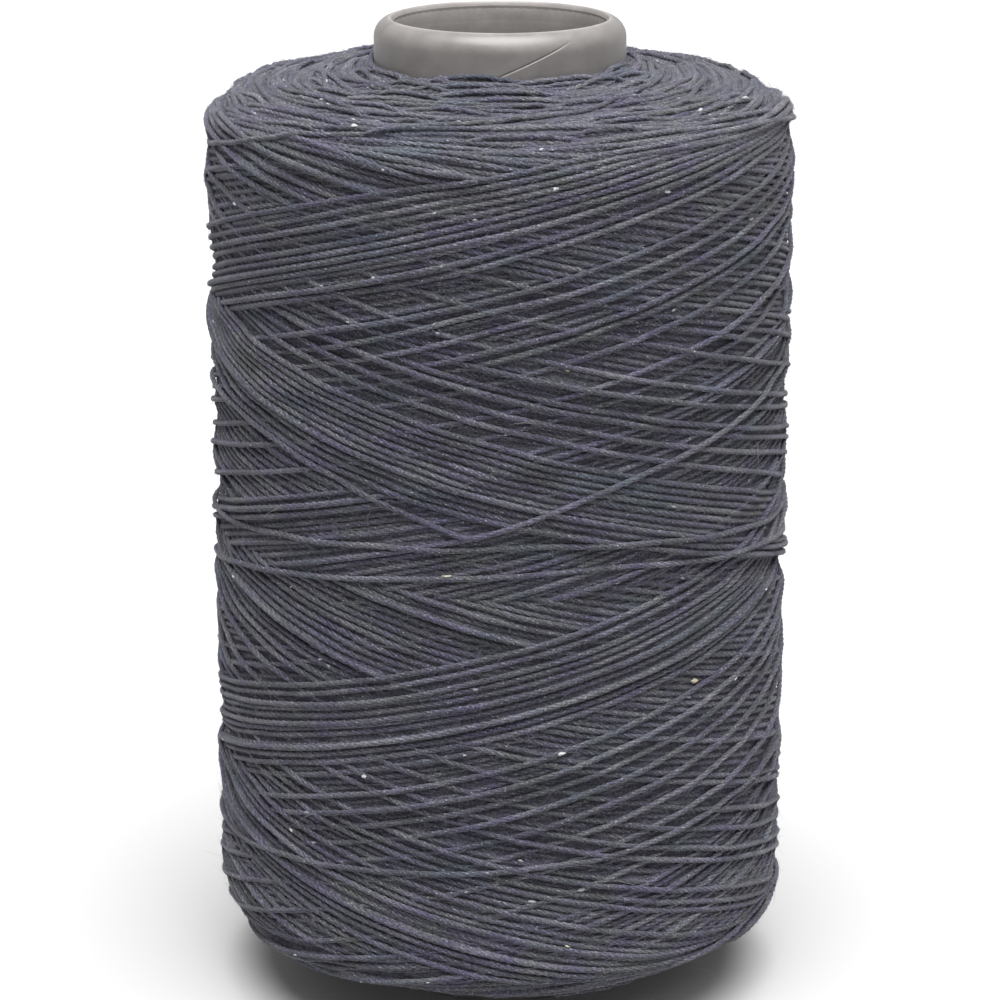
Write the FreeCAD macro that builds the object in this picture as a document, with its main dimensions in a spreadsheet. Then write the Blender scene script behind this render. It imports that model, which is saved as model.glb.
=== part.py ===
import FreeCAD, Part
import math
import os
import Sketcher

# A cross-wound package of four-ply cotton warp yarn on a spiral-wound paper tube.
# Millimetres. The origin is the centre of the tube's plain-cut foot, and +Z runs up the
# tube's axis to its rounded nose, so the front of the object faces -Y.

DRIVING_SIZES = {
    "package_dia": 80.0,       # across the yarn at its widest
    "package_height": 119.7,   # between the two shoulders of the yarn
    "shoulder_radius": 6.2,    # rounding where the yarn turns from side to end
    "end_rise": 2.7,           # how far the yarn stands higher at the tube than at the shoulder
    "end_slope": 9.2,          # slope of the yarn's domed ends, in degrees
    "tube_dia": 34.26,         # outside of the paper tube
    "tube_reach": 6.0,         # bare tube past the yarn, at each end
    "ply_thickness": 0.62,     # one layer of spiral-wound board
    "nose_mouth_dia": 29.0,    # opening left by the tube's turned-in nose
    "seam_pitch": 45.6,        # rise of the cover ply's butt seam in one turn
    "seam_width": 0.3,
    "seam_depth": 0.16,
    "seam_front_rise": 0.43,   # the seam passes the front of the tube this far above the yarn's top
}
DERIVED_SIZES = {
    "package_radius": "=package_dia / 2",
    "tube_radius": "=tube_dia / 2",
    "mouth_radius": "=nose_mouth_dia / 2",
    "yarn_foot": "=tube_reach",
    "yarn_top": "=tube_reach + package_height + 2 * end_rise",
    "tube_length": "=package_height + 2 * end_rise + 2 * tube_reach",
    "nose_radius": "=tube_radius - mouth_radius",
    "nose_centre": "=tube_length - nose_radius",
    "neck_seam_start": "=yarn_top + seam_front_rise",
    "foot_seam_start": "=yarn_top + seam_front_rise - 3 * seam_pitch",
}
# The board layers from the bore outwards, all glued to each other over their whole length.
PLIES = ["tube_liner_ply", "tube_inner_core_ply", "tube_outer_core_ply", "tube_cover_ply"]

ROOT_POINT = (-1, 1)
START, END, CENTRE = 1, 2, 3


def make_sheet(doc):
    """Put every size in a spreadsheet, the derived ones as formulas of the driving ones."""
    sheet = doc.addObject("Spreadsheet::Sheet", "sizes")
    rows = {name: str(value) for name, value in DRIVING_SIZES.items()}
    rows.update(DERIVED_SIZES)
    for row, (name, content) in enumerate(rows.items(), start=1):
        sheet.set(f"A{row}", name)
        sheet.set(f"B{row}", content)
        sheet.setAlias(f"B{row}", name)
    doc.recompute()
    return sheet


def origin_feature(body, role):
    """The body's own origin plane or axis with this role."""
    return next(item for item in body.Origin.OriginFeatures if item.Role == role)


def half_section(body, name):
    """A sketch on the body's XZ plane: sketch X is the radius and sketch Y is the height."""
    sketch = body.newObject("Sketcher::SketchObject", name)
    sketch.AttachmentSupport = [(origin_feature(body, "XZ_Plane"), "")]
    sketch.MapMode = "FlatFace"
    return sketch


def point(radius, height):
    return FreeCAD.Vector(radius, height, 0)


def arc(centre, radius, first_degrees, last_degrees):
    circle = Part.Circle(centre, FreeCAD.Vector(0, 0, 1), radius)
    return Part.ArcOfCircle(circle, math.radians(first_degrees), math.radians(last_degrees))


def place(sketch, geometry, vertex, name, radius_formula=None, height_formula=None):
    """Tie one vertex of the sketch to sizes in the sheet, measured from the sketch's origin."""
    for axis, formula in (("DistanceX", radius_formula), ("DistanceY", height_formula)):
        if formula is None:
            continue
        here = sketch.getPoint(geometry, vertex)
        value = here.x if axis == "DistanceX" else here.y
        index = sketch.addConstraint(Sketcher.Constraint(axis, *ROOT_POINT, geometry, vertex, value))
        label = f"{name}_{axis[-1].lower()}"
        sketch.renameConstraint(index, label)
        sketch.setExpression(f"Constraints.{label}", formula)


def bind_radius(sketch, geometry, name, radius, formula):
    index = sketch.addConstraint(Sketcher.Constraint("Radius", geometry, radius))
    sketch.renameConstraint(index, name)
    sketch.setExpression(f"Constraints.{name}", formula)


def join_ends(sketch, links):
    for first, first_end, second, second_end in links:
        sketch.addConstraint(Sketcher.Constraint("Coincident", first, first_end, second, second_end))


def revolve(body, sketch, name):
    turned = body.newObject("PartDesign::Revolution", name)
    turned.Profile = sketch
    turned.ReferenceAxis = (origin_feature(body, "Z_Axis"), [""])
    turned.Angle = 360.0
    body.Tip = turned
    return turned


def make_ply(doc, sheet, label, layer):
    """One layer of the tube: a straight wall whose top end turns inwards by a quarter round."""
    outer_steps = len(PLIES) - 1 - layer
    outer = sheet.tube_radius - outer_steps * sheet.ply_thickness
    inner = outer - sheet.ply_thickness
    outer_formula = f"sizes.tube_radius - {outer_steps} * sizes.ply_thickness"
    inner_formula = f"sizes.tube_radius - {outer_steps + 1} * sizes.ply_thickness"
    mouth, bend = sheet.mouth_radius, sheet.nose_centre

    body = doc.addObject("PartDesign::Body", label)
    body.Label = label
    sketch = half_section(body, f"{label}_section")
    foot, outer_wall, outer_bend, mouth_edge, inner_bend, inner_wall = range(6)
    sketch.addGeometry([
        Part.LineSegment(point(inner, 0), point(outer, 0)),
        Part.LineSegment(point(outer, 0), point(outer, bend)),
        arc(point(mouth, bend), outer - mouth, 0, 90),
        Part.LineSegment(point(mouth, bend + outer - mouth), point(mouth, bend + inner - mouth)),
        arc(point(mouth, bend), inner - mouth, 0, 90),
        Part.LineSegment(point(inner, bend), point(inner, 0)),
    ], False)
    join_ends(sketch, [
        (foot, END, outer_wall, START),
        (outer_wall, END, outer_bend, START),
        (outer_bend, END, mouth_edge, START),
        (mouth_edge, END, inner_bend, END),
        (inner_bend, START, inner_wall, START),
        (inner_wall, END, foot, START),
        (outer_bend, CENTRE, inner_bend, CENTRE),
    ])
    for vertical in (outer_wall, mouth_edge, inner_wall):
        sketch.addConstraint(Sketcher.Constraint("Vertical", vertical))
    place(sketch, foot, START, "foot_inside", inner_formula, "0 mm")
    place(sketch, foot, END, "foot_outside", outer_formula, "0 mm")
    place(sketch, outer_bend, CENTRE, "bend_centre", "sizes.mouth_radius", "sizes.nose_centre")
    place(sketch, outer_wall, END, "bend_start", None, "sizes.nose_centre")
    place(sketch, inner_wall, START, "inner_bend_start", None, "sizes.nose_centre")
    place(sketch, mouth_edge, START, "mouth", "sizes.mouth_radius", None)
    revolve(body, sketch, f"{label}_wall")
    return body


def cut_seam(doc, sheet, body, name, start, start_formula, rise_formula):
    """One bare stretch of the cover ply's butt seam: a shallow V groove that climbs in a helix.

    The section stands at the front of the tube, where the seam is at the height start.
    """
    sketch = body.newObject("Sketcher::SketchObject", f"{name}_section")
    sketch.AttachmentSupport = [(origin_feature(body, "YZ_Plane"), "")]
    sketch.MapMode = "FlatFace"
    root_depth = sheet.seam_depth - sheet.tube_radius
    overcut = -sheet.seam_depth - sheet.tube_radius
    lower_flank, upper_flank, mouth = range(3)
    sketch.addGeometry([
        Part.LineSegment(point(overcut, start - sheet.seam_width), point(root_depth, start)),
        Part.LineSegment(point(root_depth, start), point(overcut, start + sheet.seam_width)),
        Part.LineSegment(point(overcut, start + sheet.seam_width), point(overcut, start - sheet.seam_width)),
    ], False)
    join_ends(sketch, [
        (lower_flank, END, upper_flank, START),
        (upper_flank, END, mouth, START),
        (mouth, END, lower_flank, START),
    ])
    over = "-sizes.tube_radius - sizes.seam_depth"
    place(sketch, lower_flank, START, "low_edge", over, f"{start_formula} - sizes.seam_width")
    place(sketch, lower_flank, END, "root", "sizes.seam_depth - sizes.tube_radius", start_formula)
    place(sketch, upper_flank, END, "high_edge", over, f"{start_formula} + sizes.seam_width")
    doc.recompute()
    plain_volume = body.Shape.Volume

    groove = body.newObject("PartDesign::SubtractiveHelix", name)
    groove.Profile = sketch
    groove.ReferenceAxis = (origin_feature(body, "Z_Axis"), [""])
    groove.Mode = "pitch-height-angle"
    groove.setExpression("Pitch", "sizes.seam_pitch")
    groove.setExpression("Height", rise_formula)
    groove.LeftHanded = False
    body.Tip = groove
    doc.recompute()
    cut = plain_volume - body.Shape.Volume
    rise = groove.Height.Value + min(start, 0)
    length = math.hypot(2 * math.pi * sheet.tube_radius, sheet.seam_pitch) * rise / sheet.seam_pitch
    expected = length * sheet.seam_width * sheet.seam_depth / 2
    print(f"{name}: cut {cut:.3f} mm3, a V this size is {expected:.3f} mm3")
    if not 0.7 * expected < cut < 1.3 * expected:
        raise SystemExit(f"{name} is missing or the wrong size")


def make_winding(doc, sheet):
    """The wound yarn as one closed solid: a cylinder with round shoulders and domed ends."""
    label = "yarn_winding"
    tube, widest, shoulder = sheet.tube_radius, sheet.package_radius, sheet.shoulder_radius
    low, high, slope = sheet.yarn_foot, sheet.yarn_top, math.radians(sheet.end_slope)

    # Centre of the shoulder arc that is tangent to both the side and the sloped end.
    drop = (widest - shoulder - tube) * math.tan(slope) + shoulder / math.cos(slope)
    top_centre = point(widest - shoulder, high - drop)
    low_centre = point(widest - shoulder, low + drop)
    lift = point(shoulder * math.sin(slope), shoulder * math.cos(slope))
    top_touch = top_centre + lift
    low_touch = low_centre + point(lift.x, -lift.y)

    body = doc.addObject("PartDesign::Body", label)
    body.Label = label
    sketch = half_section(body, f"{label}_section")
    tube_side, low_end, low_shoulder, side, top_shoulder, top_end = range(6)
    sketch.addGeometry([
        Part.LineSegment(point(tube, high), point(tube, low)),
        Part.LineSegment(point(tube, low), low_touch),
        arc(low_centre, shoulder, sheet.end_slope - 90, 0),
        Part.LineSegment(point(widest, low_centre.y), point(widest, top_centre.y)),
        arc(top_centre, shoulder, 0, 90 - sheet.end_slope),
        Part.LineSegment(top_touch, point(tube, high)),
    ], False)
    join_ends(sketch, [(tube_side, END, low_end, START), (top_end, END, tube_side, START)])
    for first, first_end, second, second_end in (
        (low_end, END, low_shoulder, START),
        (low_shoulder, END, side, START),
        (side, END, top_shoulder, START),
        (top_shoulder, END, top_end, START),
    ):
        sketch.addConstraint(Sketcher.Constraint("Tangent", first, first_end, second, second_end))
    sketch.addConstraint(Sketcher.Constraint("Vertical", side))
    place(sketch, tube_side, START, "at_tube_top", "sizes.tube_radius", "sizes.yarn_top")
    place(sketch, tube_side, END, "at_tube_foot", "sizes.tube_radius", "sizes.yarn_foot")
    place(sketch, side, START, "widest", "sizes.package_radius", None)
    bind_radius(sketch, low_shoulder, "low_shoulder_radius", shoulder, "sizes.shoulder_radius")
    bind_radius(sketch, top_shoulder, "top_shoulder_radius", shoulder, "sizes.shoulder_radius")
    for name, line, direction in (("low_slope", low_end, -1), ("top_slope", top_end, 1)):
        start, end = sketch.getPoint(line, START), sketch.getPoint(line, END)
        angle = math.atan2(end.y - start.y, end.x - start.x)
        index = sketch.addConstraint(Sketcher.Constraint("Angle", line, angle))
        sketch.renameConstraint(index, name)
        formula = "sizes.end_slope * 1 deg" if direction < 0 else "180 deg - sizes.end_slope * 1 deg"
        sketch.setExpression(f"Constraints.{name}", formula)
    revolve(body, sketch, f"{label}_turned")
    return body


def check(doc, bodies):
    """Stop before anything is written if a feature failed or a solid is not whole."""
    for item in doc.Objects:
        if {"Invalid", "Error"} & set(item.State):
            raise SystemExit(f"{item.Label} did not rebuild: {item.State}")
    for body in bodies:
        shape = body.Shape
        if shape.isNull() or not shape.isValid() or len(shape.Solids) != 1:
            raise SystemExit(f"{body.Label} is not one valid solid")
        box = shape.BoundBox
        print(f"{body.Label}: {shape.Volume / 1000:.2f} cm3, {box.XLength:.2f} x {box.YLength:.2f}"
              f" x {box.ZLength:.2f} mm, z {box.ZMin:.2f} to {box.ZMax:.2f}")


def main():
    doc = FreeCAD.newDocument("yarn_package")
    sheet = make_sheet(doc)
    bodies = [make_ply(doc, sheet, label, layer) for layer, label in enumerate(PLIES)]
    bodies.append(make_winding(doc, sheet))
    doc.recompute()
    cover = bodies[PLIES.index("tube_cover_ply")]
    cut_seam(doc, sheet, cover, "neck_seam", sheet.neck_seam_start,
             "sizes.neck_seam_start", "sizes.nose_centre - sizes.neck_seam_start")
    cut_seam(doc, sheet, cover, "foot_seam", sheet.foot_seam_start,
             "sizes.foot_seam_start", "sizes.yarn_foot + sizes.seam_width - sizes.foot_seam_start")
    check(doc, bodies)
    os.makedirs("parts", exist_ok=True)
    for body in bodies:
        body.Shape.exportStep(f"parts/{body.Label}.step")


main()
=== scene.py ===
import math

import bpy
import numpy as np
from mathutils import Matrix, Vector


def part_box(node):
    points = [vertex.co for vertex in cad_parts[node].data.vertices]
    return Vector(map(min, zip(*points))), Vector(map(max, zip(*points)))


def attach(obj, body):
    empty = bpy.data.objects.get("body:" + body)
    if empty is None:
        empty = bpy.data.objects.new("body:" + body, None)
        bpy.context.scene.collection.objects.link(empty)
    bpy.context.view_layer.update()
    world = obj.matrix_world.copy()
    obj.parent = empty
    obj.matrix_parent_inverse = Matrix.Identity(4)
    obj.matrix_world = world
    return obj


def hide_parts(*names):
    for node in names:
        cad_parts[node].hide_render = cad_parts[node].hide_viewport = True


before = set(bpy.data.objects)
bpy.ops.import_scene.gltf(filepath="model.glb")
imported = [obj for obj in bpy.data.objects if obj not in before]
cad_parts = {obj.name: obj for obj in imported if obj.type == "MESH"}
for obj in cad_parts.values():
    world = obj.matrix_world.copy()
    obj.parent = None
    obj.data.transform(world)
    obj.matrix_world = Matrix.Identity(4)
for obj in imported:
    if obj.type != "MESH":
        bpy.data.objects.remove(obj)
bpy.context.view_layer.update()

# --------------------------------------------------
# Sizes. The winding is worked out in millimetres and scaled to metres when its
# meshes are made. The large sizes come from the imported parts.
# --------------------------------------------------
MM = 0.001


def node_box(name):
    """A part's lowest and highest corners, in millimetres."""
    low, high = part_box(name)
    return np.array(low) / MM, np.array(high) / MM


YARN_LOW, YARN_HIGH = node_box("yarn_winding")
COVER_HIGH = node_box("tube_cover_ply")[1]
LINER_HIGH = node_box("tube_liner_ply")[1]

PACKAGE_RADIUS = YARN_HIGH[1]
TUBE_RADIUS = COVER_HIGH[1]
SHOULDER_RADIUS = 6.2    # rounding between the side of the package and its ends
END_SLOPE = math.radians(9.2)
PLY_THICKNESS = COVER_HIGH[2] - node_box("tube_outer_core_ply")[1][2]
MOUTH_RADIUS = 14.5      # inside of the rounded nose
ROLLED_IN = 0.10         # how far the rolled lip narrows the mouth; a pin in the bore clears it
ROLL_DEPTH = 2.2         # how deep its curve reaches into the mouth
NARROWED = 3.6           # depth over which the bore narrows to it
SEAM_PITCH = 45.6        # how far the butt seam climbs in one turn round the tube
SEAM_FRONT_RISE = 0.43   # it passes the front of the tube this far above the thread
LINER_SEAM_DROP = 9.0    # the liner's seam runs this far below the cover's

THREAD = 0.84            # visible thickness of the thread
SQUEEZE = 0.79           # share of it left where threads cross
NECK_RISE = 0.6          # how far the threads against the tube are pushed up it
TWIST_PITCH = 5.0        # the four plies go once round in this length
TURN = 2 * math.pi * PACKAGE_RADIUS


# --------------------------------------------------
# The outline of the winding
# --------------------------------------------------
class Outline:
    """Half section of the package, walked from the tube at its foot to the tube at its top.

    s is the distance walked: along the lower end, round the shoulder, up the side, and back.
    """

    def __init__(self, step=0.1):
        sine, cosine = math.sin(END_SLOPE), math.cos(END_SLOPE)
        centre_radius = PACKAGE_RADIUS - SHOULDER_RADIUS
        drop = (centre_radius - TUBE_RADIUS) * sine / cosine + SHOULDER_RADIUS / cosine
        low, high = YARN_LOW[2] + drop, YARN_HIGH[2] - drop
        self.face = (centre_radius + SHOULDER_RADIUS * sine - TUBE_RADIUS) / cosine
        self.arc = SHOULDER_RADIUS * (math.pi / 2 - END_SLOPE)

        walk = np.arange(0, self.face, step)
        turn = np.arange(END_SLOPE - math.pi / 2, 0, step / SHOULDER_RADIUS)
        side = np.arange(low, high, step)
        flat = np.ones_like
        lower = [
            (TUBE_RADIUS + walk * cosine, YARN_LOW[2] + walk * sine,
             flat(walk) * sine, -flat(walk) * cosine),
            (centre_radius + SHOULDER_RADIUS * np.cos(turn), low + SHOULDER_RADIUS * np.sin(turn),
             np.cos(turn), np.sin(turn)),
        ]
        middle = YARN_LOW[2] + YARN_HIGH[2]
        upper = [(r[::-1], middle - z[::-1], nr[::-1], -nz[::-1]) for r, z, nr, nz in lower[::-1]]
        wall = [(flat(side) * PACKAGE_RADIUS, side, flat(side), flat(side) * 0)]
        self.r, self.z, self.nr, self.nz = (np.concatenate(part) for part in zip(*(lower + wall + upper)))
        gaps = np.hypot(np.diff(self.r), np.diff(self.z))
        self.s = np.concatenate([[0], np.cumsum(gaps)])
        self.length = self.s[-1]
        self.side_start = self.face + self.arc
        self.side_end = self.length - self.side_start
        self.side_low = low

    def at(self, values, s):
        return np.interp(s, self.s, values)

    def on_shoulder(self, s):
        return np.abs(np.minimum(s, self.length - s) - self.face - self.arc / 2) < self.arc / 2

    def s_at_height(self, height):
        """s on the side, for a height above the part's origin."""
        return self.side_start + height - self.side_low

    def points(self, theta, s, height):
        """Places on the package: angle from the front, s, and height above the outline."""
        r = self.at(self.r, s) + height * self.at(self.nr, s)
        z = self.at(self.z, s) + height * self.at(self.nz, s)
        return np.stack([r * np.sin(theta), -r * np.cos(theta), z], axis=-1)

    def normals(self, theta, s):
        nr, nz = self.at(self.nr, s), self.at(self.nz, s)
        return np.stack([nr * np.sin(theta), -nr * np.cos(theta), nz], axis=-1)


OUTLINE = Outline()


# --------------------------------------------------
# Winding the thread
# --------------------------------------------------
LAY_STEP = 0.2                                # millimetres between two worked points of the thread
ROWS, COLUMNS = 640, 1008                     # cells of the height map, about 0.25 mm square
CELL = OUTLINE.length / (ROWS - 1)
ACROSS = np.arange(-0.36, 0.37, 0.12)         # where the thread's underside is tested
SIDEWAYS = np.arange(-0.60, 0.61, 0.15)       # how far it may slide off its course


def smooth(values, width):
    """Gaussian blur along the thread, width in millimetres."""
    sigma = width / LAY_STEP
    reach = int(3 * sigma) + 1
    kernel = np.exp(-0.5 * (np.arange(-reach, reach + 1) / sigma) ** 2)
    return np.convolve(np.pad(values, reach, mode="edge"), kernel / kernel.sum(), mode="valid")


def ease(t):
    """0 up to t = 0, 1 from t = 1, and smooth between."""
    t = np.clip(t, 0, 1)
    return t * t * (3 - 2 * t)


def wander(rng, x, wave, size):
    """Slow random drift along x with this wave length."""
    t = (x - x[0]) / wave
    knots = rng.normal(0, size, int(t[-1]) + 3)
    i = t.astype(int)
    f = ease(t - i)
    return knots[i] * (1 - f) + knots[i + 1] * f


class SharedDrift:
    """A wander that each stroke takes over, mostly, from the stroke before it."""

    def __init__(self, rng, wave, size):
        self.rng, self.wave, self.size = rng, wave, size
        self.knots = rng.normal(0, size, int(3 * TURN / wave) + 4)

    def along(self, x, keep):
        fresh = self.rng.normal(0, self.size, len(self.knots))
        self.knots = keep * self.knots + math.sqrt(1 - keep * keep) * fresh
        t = (x - x[0]) / self.wave
        i = t.astype(int)
        f = ease(t - i)
        return self.knots[i] * (1 - f) + self.knots[i + 1] * f


def taut(x, rest, bend):
    """Height of a tight thread over the bumps rest, on a surface that curves by bend.

    It lies on the highest bumps and crosses the gaps between them on straight chords.
    """
    step = np.diff(x)
    sag = np.concatenate([[0], np.cumsum(np.cumsum(bend[:-1] * step) * step)])
    level = (rest - sag).tolist()
    where = x.tolist()
    hull = []
    for i, (here, value) in enumerate(zip(where, level)):
        while len(hull) > 1:
            first, last = hull[-2], hull[-1]
            rise = (value - level[first]) * (where[last] - where[first])
            if (level[last] - level[first]) * (here - where[first]) > rise:
                break
            hull.pop()
        hull.append(i)
    return np.interp(x, x[hull], np.array(level)[hull]) + sag


CHUNK = int(205 / LAY_STEP)                   # worked in lengths that cannot cross themselves
OVERLAP = int(24 / LAY_STEP)                  # and that blend into each other over this many points


# How deep a thread lies under the crests, as laid and once the package has been pressed.
LAID_DEPTHS = (-1, 0.5, 1.3, 9)
PRESSED_DEPTHS = (-1, 0.5, 1.1, 3.8)
PROUD = 0.3              # nothing stands further out than this above the crests
END_FLATNESS = 0.4       # share of the relief that is pressed out of the ends


class Winding:
    """The thread laid turn by turn on a height map of the package.

    Heights are kept without the shift field, which records how far the package has been
    pressed in or out at each place since the start. flatness is the share of the relief that
    is left at each place once the package is settled.
    """

    def __init__(self):
        self.top = np.zeros((ROWS, COLUMNS))
        self.shift = np.zeros((ROWS, COLUMNS))
        self.flatness = None
        self.strands = []

    @staticmethod
    def cells(theta, s):
        row = np.clip(np.rint(s / CELL).astype(int), 0, ROWS - 1)
        return row, np.rint(theta * (COLUMNS / (2 * math.pi))).astype(int) % COLUMNS

    def support(self, theta, s, course, offset):
        """Height at which the thread's centre rests when it is moved sideways by offset."""
        along, up, r = course
        rest = np.full(len(s), -np.inf)
        for d in ACROSS:
            side = d + offset
            here = self.top[self.cells(theta - up * side / r, s + along * side)]
            rest = np.maximum(rest, here + math.sqrt(THREAD**2 / 4 - d * d) * SQUEEZE)
        return rest

    def fit(self, theta, s, slide, sink):
        """Let one length slide into hollows, pull tight and sink in a little."""
        course, x = self.directions(theta, s)
        along, up, r = course
        costs = np.array([smooth(self.support(theta, s, course, q), 2.0) + 0.9 * q * q for q in SIDEWAYS])
        weights = np.exp((costs.min(axis=0) - costs) / 0.05)
        offset = smooth((weights * SIDEWAYS[:, None]).sum(axis=0) / weights.sum(axis=0), 4.0) * slide
        theta, s = theta - up * offset / r, s + along * offset

        rest = self.support(theta, s, course, 0.0)
        bend = along**2 * OUTLINE.at(OUTLINE.nr, s) / r
        bend = bend + np.where(OUTLINE.on_shoulder(s), up**2 / SHOULDER_RADIUS, 0)
        tight = taut(x, rest, bend)
        height = smooth(tight - sink * np.maximum(tight - smooth(rest, 2.0), 0), 0.45)
        return np.stack([theta, s, height - self.shift[self.cells(theta, s)]])

    @staticmethod
    def directions(theta, s):
        """Unit direction of the course (round and along the outline), radius, and distance run."""
        r = OUTLINE.at(OUTLINE.r, s)
        dx, ds = r * np.gradient(theta), np.gradient(s)
        step = np.hypot(dx, ds)
        return (dx / step, ds / step, r), np.concatenate([[0], np.cumsum(0.5 * (step[1:] + step[:-1]))])

    def deposit(self, theta, s, height):
        (along, up, r), _ = self.directions(theta, s)
        height = height + self.shift[self.cells(theta, s)]
        for d in np.arange(-0.40, 0.41, 0.1):
            crown = height + math.sqrt(max(THREAD**2 / 4 - d * d, 0)) * SQUEEZE
            np.maximum.at(self.top, self.cells(theta - up * d / r, s + along * d), crown)

    def lay(self, theta, s, slide, sink, dive, tuck, press_every=10**6):
        """Lay a course of any length. Its two ends are tucked under by dive over the length tuck."""
        kept, pending = [], None
        fade = ease(np.linspace(0, 1, OVERLAP))
        for number, first in enumerate(range(0, len(theta), CHUNK)):
            begin, end = max(first - OVERLAP, 0), min(first + CHUNK, len(theta))
            laid = self.fit(theta[begin:end], s[begin:end], slide, sink)
            if pending is not None:
                laid[:, :OVERLAP] = pending * (1 - fade) + laid[:, :OVERLAP] * fade
            if end < len(theta):
                laid, pending = laid[:, :-OVERLAP], laid[:, -OVERLAP:]
            self.deposit(*laid)
            kept.append(laid)
            if number % press_every == press_every - 1:
                self.press()
        theta, s, height = np.concatenate(kept, axis=1)
        x = self.directions(theta, s)[1]
        height = height - dive * (1 - ease(np.minimum(x, x[-1] - x) / tuck))
        self.strands.append({"theta": theta, "s": s, "height": height, "x": x})

    def broad_shape(self, width):
        """The height map with everything finer than width (in millimetres) blurred away."""
        r = OUTLINE.at(OUTLINE.r, np.arange(ROWS) * CELL)
        wave = np.arange(COLUMNS // 2 + 1)
        spectrum = np.fft.rfft(self.top, axis=1)
        spectrum *= np.exp(-0.5 * (wave[None, :] * (width / r)[:, None]) ** 2)
        mirrored = np.fft.fft(np.concatenate([spectrum, spectrum[::-1]]), axis=0)
        wave = np.fft.fftfreq(2 * ROWS, CELL / (2 * math.pi))
        mirrored *= np.exp(-0.5 * (wave * width) ** 2)[:, None]
        return np.fft.irfft(np.fft.ifft(mirrored, axis=0)[:ROWS], n=COLUMNS, axis=1)

    def press(self, width=5.0, share=0.7):
        """The tension of the thread presses high places down and lets low ones swell."""
        broad = self.broad_shape(width)
        move = share * (broad.mean() - broad)
        self.top += move
        self.shift += move

    def settle(self):
        """Pull the package to its outline: deep threads are pressed close and the crests touch it."""
        from_end = np.arange(ROWS) * CELL
        from_end = np.minimum(from_end, OUTLINE.length - from_end)
        tight = ease((OUTLINE.face + OUTLINE.arc + 16 - from_end) / 10)[:, None]
        crest = self.broad_shape(4.0) * (1 - tight) + self.broad_shape(2.0) * tight
        crest += np.percentile(self.top - crest, 80, axis=1, keepdims=True)
        relief = 0.2 * (crest - np.percentile(crest, 80, axis=1, keepdims=True))
        flatness = np.broadcast_to(1 - END_FLATNESS * tight, crest.shape)
        relief = flatness * PROUD * np.tanh(relief / PROUD)
        relief += NECK_RISE * ease(1 - from_end / 3.5)[:, None]

        def settled(height, crest, relief, flatness):
            depth = crest - height
            depth = np.where(depth < 0, PROUD * np.tanh(depth), depth)
            return relief - flatness * np.interp(depth, LAID_DEPTHS, PRESSED_DEPTHS)

        for strand in self.strands:
            at = self.cells(strand["theta"], strand["s"])
            height = strand["height"] + self.shift[at]
            strand["height"] = settled(height, crest[at], relief[at], flatness[at])
        self.top = settled(self.top, crest, relief, flatness)
        self.flatness = flatness


def stroke(u_start, u_end, s_start, s_end, ramps):
    """One pass of the thread guide from end to end, with the turnarounds rounded off by ramps."""
    u = np.linspace(u_start, u_end, int((u_end - u_start) / LAY_STEP), endpoint=False)
    x = u - u_start
    speed = np.sin(np.clip(np.minimum(x / ramps[0], (u_end - u) / ramps[1]), 0, 1) * math.pi / 2)
    done = np.concatenate([[0], np.cumsum(0.5 * (speed[1:] + speed[:-1]))])
    return u, s_start + (s_end - s_start) * done / done[-1]


def lay_end_turns(winding, rng, at_top):
    """The turnarounds of the inner layers, which show on the ends of the package."""
    for ring in np.arange(TUBE_RADIUS + 0.45, PACKAGE_RADIUS - SHOULDER_RADIUS + 5, 0.55):
        for _ in range(18 if ring < TUBE_RADIUS + 1.5 else 14):
            half = rng.uniform(0.6, 1.2)
            spread, tilt = rng.uniform(1.0, 6.0), rng.normal(0, 1.0)
            swing = np.arange(-half, half, LAY_STEP / ring)
            r = ring + rng.uniform(-0.3, 0.3) + spread * swing**2 + tilt * swing
            r = np.maximum(r + wander(rng, swing * ring, 7, 0.25), TUBE_RADIUS + 0.45)
            s = smooth(np.minimum((r - TUBE_RADIUS) / math.cos(END_SLOPE), OUTLINE.side_start + 1), 1.5)
            theta = rng.uniform(0, 2 * math.pi) + swing
            winding.lay(theta, OUTLINE.length - s if at_top else s, slide=0.7, sink=0.7, dive=1.8, tuck=8)
        winding.press()


# Gaps between neighbouring strokes, measured round the package in millimetres. The newest
# strokes come first: a close band, then an open fan, and so on round the package.
CLOSE_GAP = (3.45, 3.95)
OPEN_GAP = (4.5, 6.0)


def stroke_gaps(rng):
    def close(count):
        return list(rng.uniform(*CLOSE_GAP, count))

    gaps = [8] + close(10) + [15, 7, 7, 10, 7, 12, 14, 16, 9, 5]
    while sum(gaps) < 2.35 * TURN:
        gaps += close(rng.integers(10, 20)) + list(rng.uniform(*OPEN_GAP, rng.integers(0, 2)))
    return gaps[::-1]


# The last turns of the thread: (distance round the package from the front, height above the
# tube's foot), both in millimetres. They end on the top, tucked in beside the tube.
LAST_TURNS = [
    (-230, 30.7), (-52, 64.2), (-34, 67.2), (4, 70.9), (25, 71.0), (48, 66.7),
    (125, 65.2), (199, 70.7), (247, 74.1), (265, 75.0), (277, 73.3), (299, 69.2),
    (360, 72.7), (410, 82.7), (450, 91.0), (470, 85.5), (498.5, 75.0),
    (520, 82.1), (550, 90.2), (600, 102.7), (680, 118.0),
]
LAST_LEAD = 416          # distance from the last turnaround to the start of that table's front
TURN_BACK = 498.5        # the sharp turn back upwards that shows at the front


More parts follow.
